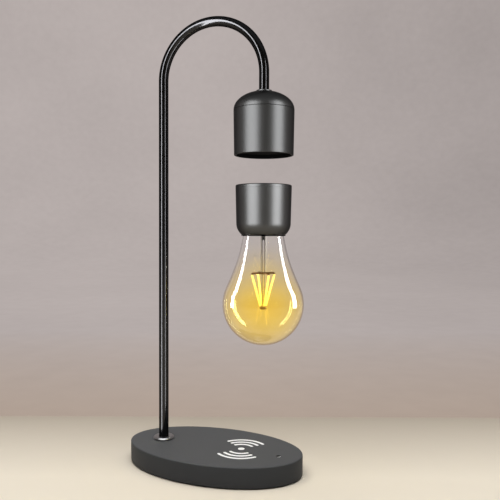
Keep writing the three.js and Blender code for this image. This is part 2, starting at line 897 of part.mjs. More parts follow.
function floatingGroup() {
  const group = new THREE.Group();
  group.position.x = headX;
  group.add(piece("cap_shell", capShell(), gunmetal));
  group.add(piece("cap_lid", capLid(), gunmetal));
  group.add(piece("lift_magnet", disc(magnetRadius, magnetBottom, magnetTop, innerSides), nickel));
  const coilBore = pocketRadius + pocketWall + fit;
  const coilLow = receiveCoilTop - receiveCoilThickness;
  const receiveCoil = ring(coilBore, receiveCoilRadius, coilLow, receiveCoilTop, innerSides);
  group.add(piece("receiver_coil", receiveCoil, copper));
  group.add(piece("magnet_carrier", magnetCarrier(), whitePlastic));
  group.add(piece("receiver_board", receiverBoard(), circuitBoard));
  const holderLow = capCurveZ + fit;
  const holder = ring(neckRadius + fit, capBore - fit, holderLow, holderLow + holderHeight, innerSides);
  group.add(piece("neck_holder", holder, blackPlastic));
  const curveCentre = capLowRadius - capCurveRadius;
  const capEnd = capCurveZ - Math.sqrt(capCurveRadius ** 2 - (capMouthRadius - curveCentre) ** 2);
  const gasketTop = capEnd - seat;
  const gasketRadius = capMouthRadius - seat;
  const gasketLow = gasketTop - gasketHeight;
  const gasket = ring(gasketRadius - gasketWall, gasketRadius, gasketLow, gasketTop, wideSides);
  group.add(piece("neck_gasket", gasket, blackPlastic));
  group.add(piece("bulb_glass", bulbGlass(), clear));
  group.add(piece("glass_stem", glassStem(), clear));
  const works = new THREE.Group();
  works.rotation.z = THREE.MathUtils.degToRad(filamentTurn);
  works.add(piece("filament_support", filamentSupport(), steel));
  for (let i = 0; i < filamentCount; i++) works.add(filament(i));
  works.add(leadWire(0), leadWire(1));
  group.add(works);
  const hubLow = hubZ - hubHeight / 2;
  group.add(piece("filament_hub", disc(hubRadius, hubLow, hubLow + hubHeight, 16), steel));
  return group;
}

const lamp = new THREE.Group();
lamp.name = "levitating_lamp";
lamp.add(baseGroup(), stemGroup(), headGroup(), floatingGroup());

export default lamp;
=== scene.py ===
"""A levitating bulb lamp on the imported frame: oval base, bent stem, bell head and floating bulb."""
import math

import bmesh
import bpy
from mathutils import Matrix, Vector


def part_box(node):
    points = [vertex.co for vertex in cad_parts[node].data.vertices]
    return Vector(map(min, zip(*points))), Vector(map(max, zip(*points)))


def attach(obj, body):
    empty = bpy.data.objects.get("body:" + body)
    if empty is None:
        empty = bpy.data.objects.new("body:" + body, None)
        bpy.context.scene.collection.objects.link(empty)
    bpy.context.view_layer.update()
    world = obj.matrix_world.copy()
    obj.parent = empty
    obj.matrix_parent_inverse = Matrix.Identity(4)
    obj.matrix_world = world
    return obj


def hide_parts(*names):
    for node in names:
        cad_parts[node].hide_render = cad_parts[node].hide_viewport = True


bl_info = {
    "name": "Levitating bulb lamp",
    "version": (1, 0, 0),
    "blender": (4, 5, 0),
    "location": "3D View > Sidebar > Lamp",
    "description": "Makes the finished surfaces of a levitating bulb lamp",
    "category": "Object",
}

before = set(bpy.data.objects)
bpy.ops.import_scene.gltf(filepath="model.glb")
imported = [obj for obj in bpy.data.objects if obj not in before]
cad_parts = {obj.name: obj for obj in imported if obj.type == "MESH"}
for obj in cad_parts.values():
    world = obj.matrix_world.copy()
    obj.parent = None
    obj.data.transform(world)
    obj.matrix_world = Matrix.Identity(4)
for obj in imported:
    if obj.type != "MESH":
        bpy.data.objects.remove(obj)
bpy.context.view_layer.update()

MM = 0.001
ROUND = 96
CORNER_STEPS = 5
BORE_SIDES = 48
ON_AXIS = 1e-9
SAME_PLACE = 1e-7
SHARP_ANGLE = math.radians(28)
# turn of the indicator's painted highlight, past the camera's turn
PAINTED_HIGHLIGHT_TURN = math.radians(25)
TABLE_EDGE = 0.118
TABLE_FADE = 0.14
WALL_FADE = 0.5
EDGE_SOFTNESS = 0.006
SHADE_REACH = 1.3
LAMP_DISTANCE = 0.9

HEAD_LOW, HEAD_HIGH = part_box("head_shell")
CAP_LOW, CAP_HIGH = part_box("cap_shell")
LID_LOW, LID_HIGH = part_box("cap_lid")
BASE_LOW, BASE_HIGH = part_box("base_shell")
GLASS_LOW, GLASS_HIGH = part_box("bulb_glass")
STEM_LOW, STEM_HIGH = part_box("stem_tube")
FLANGE_LOW, FLANGE_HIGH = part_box("stem_flange")
AXIS_X = (HEAD_LOW.x + HEAD_HIGH.x) / 2
POLE_X = (FLANGE_LOW.x + FLANGE_HIGH.x) / 2
CENTRE = Vector((AXIS_X, 0, 0))
POLE = Vector((POLE_X, 0, 0))
VIEW_TURN = math.radians(20.74)


def length(name, text, value):
    return bpy.props.FloatProperty(
        name=name, description=text, default=value, subtype="DISTANCE", unit="LENGTH")


def colour(name, text, value):
    return bpy.props.FloatVectorProperty(
        name=name, description=text, default=value, size=3, subtype="COLOR")


class LampSizes(bpy.types.PropertyGroup):
    """Sizes that the finished surfaces add to the frame."""

    edge: length("Base edge", "Rounding of the base's upper and lower edge", 0.9 * MM)
    wall: length("Base wall", "Wall of the base housing", 2.2 * MM)
    head_wall: length("Head wall", "Wall of the bell at its mouth", 1.6 * MM)
    cap_wall: length("Cap wall", "Wall of the floating cap", 1.3 * MM)
    glass_wall: length("Glass wall", "Wall of the bulb", 0.7 * MM)
    shoulder: length("Shoulder height", "Height of the bell's straight side", 33 * MM)
    mark_x: length("Mark place", "Distance of the charging mark from the middle of the base", 22.5 * MM)
    mark_first: length("First arc", "Radius of the mark's inner arc", 9.6 * MM)
    mark_step: length("Arc step", "Distance from arc to arc", 4.9 * MM)
    mark_stroke: length("Stroke", "Width of the mark's line", 2.3 * MM)
    mark_dot: length("Dot", "Radius of the mark's dot", 2.5 * MM)


class LampColours(bpy.types.PropertyGroup):
    """Colours of the lamp and of the plain set it stands on."""

    base: colour("Base", "Satin plastic of the base", (0.071, 0.073, 0.076))
    metal: colour("Metal", "Satin metal of the head and the cap", (0.078, 0.079, 0.08))
    stem: colour("Stem", "Polished dark plating of the stem", (0.034, 0.034, 0.036))
    glow: colour("Glow", "Light of the filaments", (1.0, 0.74, 0.13))
    # the next two colours are painted light on the glass: the glow it gives off and its warm tint
    painted_glass_glow: colour("Amber", "Light that the glass takes from the filaments", (1.0, 0.5, 0.01))
    warm: colour("Warm glass", "Tint of the lit glass", (1.0, 0.93, 0.4))
    mark: colour("Mark", "Print of the charging mark", (0.95, 0.95, 0.94))
    table: colour("Table", "Plain table in front", (0.74, 0.67, 0.56))
    # painted shade: the darker tone the table takes towards its far edge
    shaded_table_end: colour("Table end", "The same table at its far edge", (0.42, 0.365, 0.3))
    wall_foot: colour("Wall foot", "Plain wall just above the table", (0.46, 0.37, 0.31))
    wall: colour("Wall", "Plain wall", (0.49, 0.435, 0.42))


class Socket:
    """A node socket. Arithmetic on it adds Math nodes."""

    def __init__(self, graph, socket):
        self.graph = graph
        self.socket = socket

    def maths(self, operation, *values):
        inputs = dict(enumerate(values))
        return self.graph.node("ShaderNodeMath", {"operation": operation}, inputs)

    def __add__(self, other):
        return self.maths("ADD", self, other)

    def __radd__(self, other):
        return self.maths("ADD", other, self)

    def __sub__(self, other):
        return self.maths("SUBTRACT", self, other)

    def __rsub__(self, other):
        return self.maths("SUBTRACT", other, self)

    def __mul__(self, other):
        return self.maths("MULTIPLY", self, other)

    def __rmul__(self, other):
        return self.maths("MULTIPLY", other, self)

    def __truediv__(self, other):
        return self.maths("DIVIDE", self, other)

    def clamped(self):
        return self.maths("MINIMUM", self.maths("MAXIMUM", self, 0.0), 1.0)


class Graph:
    """A node tree that is written as expressions."""

    def __init__(self, tree):
        self.tree = tree

    def node(self, kind, settings=None, inputs=None, output=0):
        made = self.tree.nodes.new(kind)
        for key, value in (settings or {}).items():
            setattr(made, key, value)
        for key, value in (inputs or {}).items():
            if isinstance(value, Socket):
                self.tree.links.new(value.socket, made.inputs[key])
            else:
                made.inputs[key].default_value = value
        return Socket(self, made.outputs[output])

    def place(self):
        return self.node("ShaderNodeTexCoord", output="Object")

    def noise(self, scale, detail, vector=None):
        inputs = {"Scale": scale, "Detail": detail, "Vector": vector or self.place()}
        return self.node("ShaderNodeTexNoise", {}, inputs)

    def mixed(self, factor, first, second):
        settings = {"data_type": "RGBA"}
        return self.node("ShaderNodeMix", settings, {0: factor, 6: first, 7: second}, 2)

    def bump(self, height, distance):
        inputs = {"Height": height, "Distance": distance, "Strength": 1.0}
        return self.node("ShaderNodeBump", {}, inputs)

    def axis(self, name):
        return self.node("ShaderNodeSeparateXYZ", {}, {0: self.place()}, name)


def shader(name):
    material = bpy.data.materials.new(name)
    material.use_nodes = True
    material.node_tree.nodes.clear()
    return material, Graph(material.node_tree)


def surface(graph, inputs):
    return graph.node("ShaderNodeBsdfPrincipled", {}, inputs)


def output(graph, shown):
    end = graph.tree.nodes.new("ShaderNodeOutputMaterial")
    graph.tree.links.new(shown.socket, end.inputs["Surface"])


def rgba(value, scale=1.0):
    return (*[min(1.0, c * scale) for c in value], 1.0)


def finish(name, tone, rough, metallic=0.0, grain=900.0, depth=0.00001, spread=0.08, **fixed):
    """A surface with a fine grain: its colour, roughness and bump all vary a little."""
    material, graph = shader(name)
    broad = graph.noise(38.0, 2.0)
    fine = graph.noise(grain, 4.0)
    tint = graph.mixed(broad * 0.5 + fine * 0.5, rgba(tone, 1 - spread), rgba(tone, 1 + spread))
    inputs = {
        "Base Color": tint,
        "Roughness": rough + (fine - 0.5) * 0.08 + (broad - 0.5) * 0.06,
        "Metallic": metallic,
        "Normal": graph.bump(fine, depth),
    }
    inputs.update(fixed)
    output(graph, surface(graph, inputs))
    return material


def base_finish(tone):
    """Fine spark texture of a moulded housing, rubbed a little smoother at places."""
    return finish(
        "moulded_base", tone, 0.55, grain=2600.0, depth=0.00003, spread=0.07, **{"Specular IOR Level": 0.22})


def metal_finish(tone):
    """Satin gunmetal: a very fine vertical blasting grain and slight cloudiness."""
    material, graph = shader("satin_gunmetal")
    stretch = graph.node("ShaderNodeMapping", {}, {"Vector": graph.place(), "Scale": (1, 1, 0.12)})
    grain = graph.noise(3200.0, 3.0, stretch)
    cloud = graph.noise(45.0, 2.0)
    tint = graph.mixed(cloud, rgba(tone, 0.95), rgba(tone, 1.05))
    inputs = {
        "Base Color": tint,
        "Metallic": 1.0,
        "Roughness": 0.37 + (grain - 0.5) * 0.08 + (cloud - 0.5) * 0.05,
        "Specular Tint": (0.35, 0.35, 0.35, 1.0),
        "Normal": graph.bump(grain, 0.000004),
    }
    output(graph, surface(graph, inputs))
    return material


def stem_finish(tone):
    """Polished dark plating with faint polishing lines."""
    material, graph = shader("polished_plating")
    along = graph.node("ShaderNodeMapping", {}, {"Vector": graph.place(), "Scale": (1, 1, 0.02)})
    lines = graph.noise(1500.0, 2.0, along)
    cloud = graph.noise(30.0, 2.0)
    inputs = {
        "Base Color": graph.mixed(cloud, rgba(tone, 0.93), rgba(tone, 1.07)),
        "Metallic": 1.0,
        "Roughness": 0.13 + (lines - 0.5) * 0.03 + (cloud - 0.5) * 0.03,
        "Specular Tint": (0.3, 0.3, 0.3, 1.0),
        "Normal": graph.bump(lines, 0.0000004),
    }
    output(graph, surface(graph, inputs))
    return material


def glass_with_painted_glow(name, tint, glow, low, high, strength, painted_shade_from=0.7):
    """Clear glass with a painted warm glow where one looks straight through its lower part, and painted
    shade along its outline.
    """
    material, graph = shader(name)
    rise = (1.0 - (graph.axis("Z") - low) / (high - low)).clamped()
    warm = rise * rise * (3.0 - 2.0 * rise)
    grazing = graph.node("ShaderNodeLayerWeight", {}, {"Blend": 0.5}, "Facing")
    straight = 1.0 - grazing
    # painted glow: strongest low down and where one looks straight through the glass
    lit = warm * straight * (0.35 + 0.65 * straight)
    steepness = 5.0
    # painted shade: the base colour turns dark along the glass's outline
    outline = ((grazing - painted_shade_from) * steepness).clamped()
    painted_glow_tint = graph.mixed(lit, (1, 1, 1, 1), rgba(tint))
    inputs = {
        "Base Color": graph.mixed(outline, painted_glow_tint, (0.1, 0.09, 0.08, 1)),
        "Roughness": 0.0,
        "IOR": 1.45,
        "Transmission Weight": 1.0,
        "Emission Color": graph.mixed(lit, (0, 0, 0, 1), rgba(glow)),
        "Emission Strength": strength,
    }
    solid = surface(graph, inputs)
    through = graph.node("ShaderNodeBsdfTransparent", {}, {"Color": (0.97, 0.96, 0.93, 1)})
    shadow = graph.node("ShaderNodeLightPath", output="Is Shadow Ray")
    output(graph, graph.node("ShaderNodeMixShader", {}, {0: shadow, 1: solid, 2: through}))
    return material


def glow_finish(glow):
    """Lit phosphor, a little brighter where the chips sit."""
    material, graph = shader("lit_phosphor")
    chips = graph.noise(700.0, 1.0)
    inputs = {
        "Base Color": rgba(glow),
        "Roughness": 0.5,
        "Emission Color": graph.mixed(chips, rgba(glow, 0.8), rgba((1.0, 0.9, 0.4))),
        "Emission Strength": 1.1,
    }
    output(graph, surface(graph, inputs))
    return material


def window_with_painted_highlight(centre, reach):
    """Dark gloss of the indicator with a painted highlight: a pale crescent along its front edge."""
    material, graph = shader("window_gloss")
    across = (graph.axis("X") - centre.x) * math.sin(VIEW_TURN + PAINTED_HIGHLIGHT_TURN)
    along = (graph.axis("Y") - centre.y) * math.cos(VIEW_TURN + PAINTED_HIGHLIGHT_TURN)
    start, steepness = 0.55, 9.0
    # painted highlight: the mask of the pale crescent, set by the camera's side
    edge = (((across - along) / reach - start) * steepness).clamped()
    cloud = graph.noise(900.0, 2.0)
    inputs = {
        "Base Color": graph.mixed(edge, (0.002, 0.002, 0.002, 1), (0.95, 0.95, 0.93, 1)),
        "Roughness": 0.3 + (cloud - 0.5) * 0.06,
        "Specular IOR Level": 0.1,
    }
    output(graph, surface(graph, inputs))
    return material


def paper_finish(tones):
    """A pale table up to a straight edge behind the lamp, darkened towards that edge by painted shade.
    Beyond it the camera sees a wall, darker and warmer just above the table, with painted shade to one side.
    """
    material, graph = shader("plain_paper")
    behind = graph.axis("Y") * math.cos(VIEW_TURN) - graph.axis("X") * math.sin(VIEW_TURN)
    # painted shade: the table darkens from its near tone to its far tone
    painted_table_light = ((TABLE_EDGE - behind) / TABLE_FADE).clamped()
    speck = graph.noise(60.0, 3.0)
    camera = graph.node("ShaderNodeLightPath", output="Is Camera Ray")
    through = graph.node("ShaderNodeLightPath", output="Is Transmission Ray")
    mirrored = graph.node("ShaderNodeLightPath", output="Is Glossy Ray")
    seen = (camera + through + mirrored).clamped()
    pale = graph.mixed(painted_table_light, rgba(tones.shaded_table_end), rgba(tones.table))
    tone = graph.mixed(seen, (0.24, 0.23, 0.22, 1), pale)
    inputs = {
        "Base Color": graph.mixed(speck * 0.04, tone, (0.3, 0.26, 0.22, 1)),
        "Roughness": 0.86 + speck * 0.08,
        "Specular IOR Level": 0.0,
    }
    painted = surface(graph, inputs)
    far = ((behind - TABLE_EDGE) / WALL_FADE).clamped()
    sideways = graph.axis("X") * math.cos(VIEW_TURN) + graph.axis("Y") * math.sin(VIEW_TURN)
    # painted shade on the wall: darker to one side, in broad soft patches
    shade = (sideways / SHADE_REACH).clamped() * 0.2 + (graph.noise(1.6, 2.0) - 0.5) * 0.16
    plaster = (graph.noise(26.0, 4.0) - 0.5) * 0.1
    wall = graph.mixed(far, rgba(tones.wall_foot), rgba(tones.wall))
    wall = graph.mixed((shade + plaster + 0.06).clamped(), wall, (0.06, 0.05, 0.05, 1))
    lit = graph.node("ShaderNodeEmission", {}, {"Color": wall, "Strength": 1.0})
    beyond = ((behind - TABLE_EDGE) / EDGE_SOFTNESS).clamped()
    output(graph, graph.node("ShaderNodeMixShader", {}, {0: beyond * seen, 1: painted, 2: lit}))
    return material


def arc(centre_r, centre_z, reach_r, reach_z, start, end, steps):
    """Points on an ellipse arc, angles in degrees from the outward direction."""
    turn = [math.radians(start + (end - start) * i / steps) for i in range(steps + 1)]
    return [(centre_r + reach_r * math.cos(a), centre_z + reach_z * math.sin(a)) for a in turn]


def softened(points):
    """A profile with its corners rounded: each point is (radius, height) or (radius, height, rounding)."""
    made = []
    for i, point in enumerate(points):
        here = Vector(point[:2])
        if len(point) < 3:
            made.append(tuple(here))
            continue
        before = Vector(points[i - 1][:2]) - here
        after = Vector(points[(i + 1) % len(points)][:2]) - here
        reach = min(point[2], before.length * 0.49, after.length * 0.49)
        first = here + before.normalized() * reach
        last = here + after.normalized() * reach
        for k in range(CORNER_STEPS + 1):
            t = k / CORNER_STEPS
            made.append(tuple(first * (1 - t) ** 2 + here * 2 * t * (1 - t) + last * t * t))
    return made


def mark_sharp(mesh):
    """Smooth faces, with sharp edges where two faces meet at more than a slight angle."""
    shape = bmesh.new()
    shape.from_mesh(mesh)
    for face in shape.faces:
        face.smooth = True
    for edge in shape.edges:
        edge.smooth = len(edge.link_faces) != 2 or edge.calc_face_angle(0.0) < SHARP_ANGLE
    shape.to_mesh(mesh)
    shape.free()


def made_object(name, mesh):
    made = bpy.data.objects.new(name, mesh)
    bpy.context.scene.collection.objects.link(made)
    return made


def solid(name, shape):
    """An object from a built shape, with its sharp edges marked."""
    mesh = bpy.data.meshes.new(name)
    shape.to_mesh(mesh)
    shape.free()
    mark_sharp(mesh)
    return made_object(name, mesh)


def turned(name, profile, centre=CENTRE, sides=ROUND, closed=True):
    """A mesh turned about the upright axis at centre. The profile runs anticlockwise, in metres."""
    shape = bmesh.new()
    rings = []
    for radius, height in profile:
        if radius < ON_AXIS:
            rings.append([shape.verts.new((centre.x, centre.y, height))] * sides)
            continue
        ring = []
        for k in range(sides):
            angle = 2 * math.pi * k / sides
            place = (centre.x + radius * math.cos(angle), centre.y + radius * math.sin(angle), height)
            ring.append(shape.verts.new(place))
        rings.append(ring)
    pairs = list(zip(rings, rings[1:]))
    if closed and profile[0][0] > ON_AXIS:
        pairs.append((rings[-1], rings[0]))
    for low, high in pairs:
        for k in range(sides):
            n = (k + 1) % sides
            corners = list(dict.fromkeys([low[k], low[n], high[n], high[k]]))
            if len(corners) > 2:
                shape.faces.new(corners)
    return solid(name, shape)


def cut(body, *cutters):
    """Cuts the cutters out of body and removes them."""
    for cutter in cutters:
        modifier = body.modifiers.new("cut", "BOOLEAN")
        modifier.operation = "DIFFERENCE"
        modifier.solver = "EXACT"
        modifier.object = cutter
    baked(body)
    for cutter in cutters:
        bpy.data.objects.remove(cutter)
    mark_sharp(body.data)


def baked(made):
    """Turns an object with its modifiers into a plain mesh."""
    bpy.context.view_layer.update()
    graph = bpy.context.evaluated_depsgraph_get()
    mesh = bpy.data.meshes.new_from_object(made.evaluated_get(graph))
    made.modifiers.clear()
    if made.type == "MESH":
        made.data = mesh
        return made
    name = made.name
    bpy.data.objects.remove(made)
    return made_object(name, mesh)


def rod(name, start, end, radius, sides=24, dome=0.0):
    """A round bar from start to end, with domed ends where dome is not 0."""
    start, end = Vector(start), Vector(end)
    along = end - start
    turn = Vector((0, 0, 1)).rotation_difference(along)
    steps = 6 if dome else 1
    low = arc(0, dome, radius, dome, -90, 0, steps) if dome else [(0, 0), (radius, 0)]
    top = along.length
    high = arc(0, top - dome, radius, dome, 0, 90, steps) if dome else [(radius, top), (0, top)]
    bar = [(max(0.0, r), z) for r, z in low + high]
    bar[0] = (0, bar[0][1])
    bar[-1] = (0, bar[-1][1])
    made = turned(name, bar, Vector(), sides)
    for vertex in made.data.vertices:
        vertex.co = turn @ vertex.co + start
    return made


def joined(name, objects):
    """One mesh from several, each a closed solid."""
    shape = bmesh.new()
    for part in objects:
        shape.from_mesh(part.data)
        bpy.data.objects.remove(part)
    return solid(name, shape)


def dressed(made, body, slot, material, *nodes):
    """Gives a piece its material and body, and lets it stand for the named nodes. The slot is not used."""
    made.data.materials.clear()
    made.data.materials.append(material)
    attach(made, body)
    if nodes:
        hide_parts(*nodes)
    return made


def shade_lined(made, material):
    """Gives the faces that look towards the head's axis a second material: near-black, as painted shade
    inside the bell's mouth.
    """
    inward = -0.2
    made.data.materials.append(material)
    for face in made.data.polygons:
        outward = face.center - CENTRE
        outward.z = 0
        if face.normal.dot(outward.normalized()) < inward:
            face.material_index = 1


def coloured(names, material):
    """The named frame nodes keep their shape and get the material."""
    for name in names:
        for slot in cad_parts[name].material_slots:
            slot.material = material


class GeometryTree(Graph):
    """A Geometry Nodes tree with named inputs."""

    def __init__(self, name, inputs, shape=True):
        super().__init__(bpy.data.node_groups.new(name, "GeometryNodeTree"))
        interface = self.tree.interface
        if shape:
            interface.new_socket("Geometry", in_out="INPUT", socket_type="NodeSocketGeometry")
        for label, (kind, value) in inputs.items():
            socket = interface.new_socket(label, in_out="INPUT", socket_type=kind)
            socket.default_value = value
        interface.new_socket("Geometry", in_out="OUTPUT", socket_type="NodeSocketGeometry")
        self.given = self.tree.nodes.new("NodeGroupInput")

    def value(self, label):
        return Socket(self, self.given.outputs[label])

    def end(self, made, material):
        whole = self.node("GeometryNodeRealizeInstances", {}, {0: made})
        painted = self.node("GeometryNodeSetMaterial", {}, {0: whole, "Material": material})
        out = self.tree.nodes.new("NodeGroupOutput")
        self.tree.links.new(painted.socket, out.inputs[0])

    def on(self, made, values):
        modifier = made.modifiers.new(self.tree.name, "NODES")
        modifier.node_group = self.tree
        for item in self.tree.interface.items_tree:
            if item.in_out == "INPUT" and item.name in values:
                modifier[item.identifier] = values[item.name]
        return baked(made)


def scene_colours():
    return bpy.context.scene.lamp_colours


def scene_sizes():
    return bpy.context.scene.lamp_sizes


class LAMP_OT_base(bpy.types.Operator):
    """Make the oval housing, the indicator's window and the screws of the cover"""

    bl_idname = "lamp.base"
    bl_label = "Base"

    def execute(self, context):
        size = scene_sizes()
        plastic = base_finish(scene_colours().base)
        housing = self.housing(size)
        dressed(housing, "base", "base_plastic", plastic, "base_shell")
        self.lens()
        self.screws()
        return {"FINISHED"}

    def housing(self, size):
        """Outside, lower rim and inside of the oval shell, ring by ring."""
        half_x, half_y = BASE_HIGH.x, BASE_HIGH.y
        low, high = BASE_LOW.z, BASE_HIGH.z
        edge, wall = size.edge, size.wall
        outside = [(edge * 0.5, low)]
        outside += [(edge - edge * math.cos(a), low + edge - edge * math.sin(a))
                    for a in [math.radians(60 - 20 * i) for i in range(4)]]
        outside += [(edge - edge * math.cos(a), high - edge + edge * math.sin(a))
                    for a in [math.radians(15 * i) for i in range(7)]]
        insets = [2, 5, 12, 22, 32]
        outside += [(edge + inset * MM, high) for inset in insets]
        inside = [(wall + 30 * MM, high - wall), (wall, high - wall), (wall, low)]
        shape = bmesh.new()

        def oval(inset, height, sides=2 * ROUND):
            ring = []
            for k in range(sides):
                angle = 2 * math.pi * k / sides
                x, y = (half_x - inset) * math.cos(angle), (half_y - inset) * math.sin(angle)
                ring.append(shape.verts.new((x, y, height)))
            return ring

        def band(first, second):
            for k in range(len(first)):
                n = (k + 1) % len(first)
                shape.faces.new([first[k], first[n], second[n], second[k]])

        outer = [oval(*place) for place in outside]
        inner = [oval(*place) for place in inside]
        for rings in (outer, inner):
            for pair in zip(rings, rings[1:]):
                band(*pair)
        band(inner[-1], outer[0])
        shape.faces.new(outer[-1])
        shape.faces.new(list(reversed(inner[0])))
        housing = solid("base_housing", shape)
        jack_low, jack_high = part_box("dc_jack")
        lens_low, lens_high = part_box("indicator_lens")
        lens = (lens_low + lens_high) / 2
        jack = (jack_low + jack_high) / 2
        flange_bore = (FLANGE_HIGH.x - FLANGE_LOW.x) / 4
        inlet_bore, well_bore, reach = 4 * MM, 1.9 * MM, 4 * MM
        bores = [rod("inlet", (-1.1 * half_x, 0, jack.z), (jack_low.x, 0, jack.z), inlet_bore, BORE_SIDES)]
        for name, at, bore in (("well", lens, well_bore), ("hole", POLE, flange_bore)):
            bores.append(rod(name, (at.x, at.y, high - reach), (at.x, at.y, high + reach), bore, BORE_SIDES))
        cut(housing, *bores)
        return housing

    def lens(self):
        """The small window of the indicator: a dished dark face on a stepped light pipe."""
        low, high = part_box("indicator_lens")
        centre = Vector(((low.x + high.x) / 2, (low.y + high.y) / 2, 0))
        rim, pipe = (high.x - low.x) / 2, 1.8 * MM
        step, top = low.z + 1.2 * MM, BASE_HIGH.z - 0.02 * MM
        hollow, rings = 0.2 * MM, 6
        dish = [(pipe * k / rings, top - hollow * (1 - (k / rings) ** 2)) for k in range(rings, -1, -1)]
        profile = [(0, low.z), (rim, low.z), (rim, step), (pipe, step), *dish]
        window = turned("indicator_window", profile, centre, BORE_SIDES, closed=False)
        # the window's pale crescent is a painted highlight
        gloss = window_with_painted_highlight(centre, pipe)
        dressed(window, "base", "light_pipe", gloss, "indicator_lens")

    def screws(self):
        """Four countersunk screws with crossed recesses, placed by a tree on four points."""
        names = [f"cover_screw_{i}" for i in range(1, 5)]
        boxes = [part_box(name) for name in names]
        head_height, slot_reach, slot_radius = 0.9 * MM, 1.5 * MM, 0.4 * MM
        radius = (boxes[0][1].x - boxes[0][0].x) / 2
        low = boxes[0][0].z
        top = low + head_height
        head = turned("screw_pattern", softened([
            (0, low), (radius, low, 0.3 * MM), (radius, top, 0.1 * MM), (0, top),
        ]), Vector(), 40, closed=False)
        slots = []
        for turn in (0, math.pi / 2):
            reach = Vector((math.cos(turn), math.sin(turn), 0)) * slot_reach
            at = Vector((0, 0, low))
            slots.append(rod("slot", at - reach, at + reach, slot_radius, 12))
        cut(head, *slots)
        tree = GeometryTree("screw_places", {"Pattern": ("NodeSocketObject", None)})
        pattern = tree.node("GeometryNodeObjectInfo", {}, {"Object": tree.value("Pattern")}, "Geometry")
        places = {"Points": tree.value("Geometry"), "Instance": pattern}
        copies = tree.node("GeometryNodeInstanceOnPoints", {}, places)
        steel = finish("zinc_steel", (0.42, 0.42, 0.43), 0.35, 1.0)
        tree.end(copies, steel)
        points = bpy.data.meshes.new("cover_screws")
        points.from_pydata([((a.x + b.x) / 2, (a.y + b.y) / 2, 0) for a, b in boxes], [], [])
        placed = tree.on(made_object("cover_screws", points), {"Pattern": head})
        bpy.data.objects.remove(head)
        mark_sharp(placed.data)
        dressed(placed, "base", "plain_steel", steel, *names)


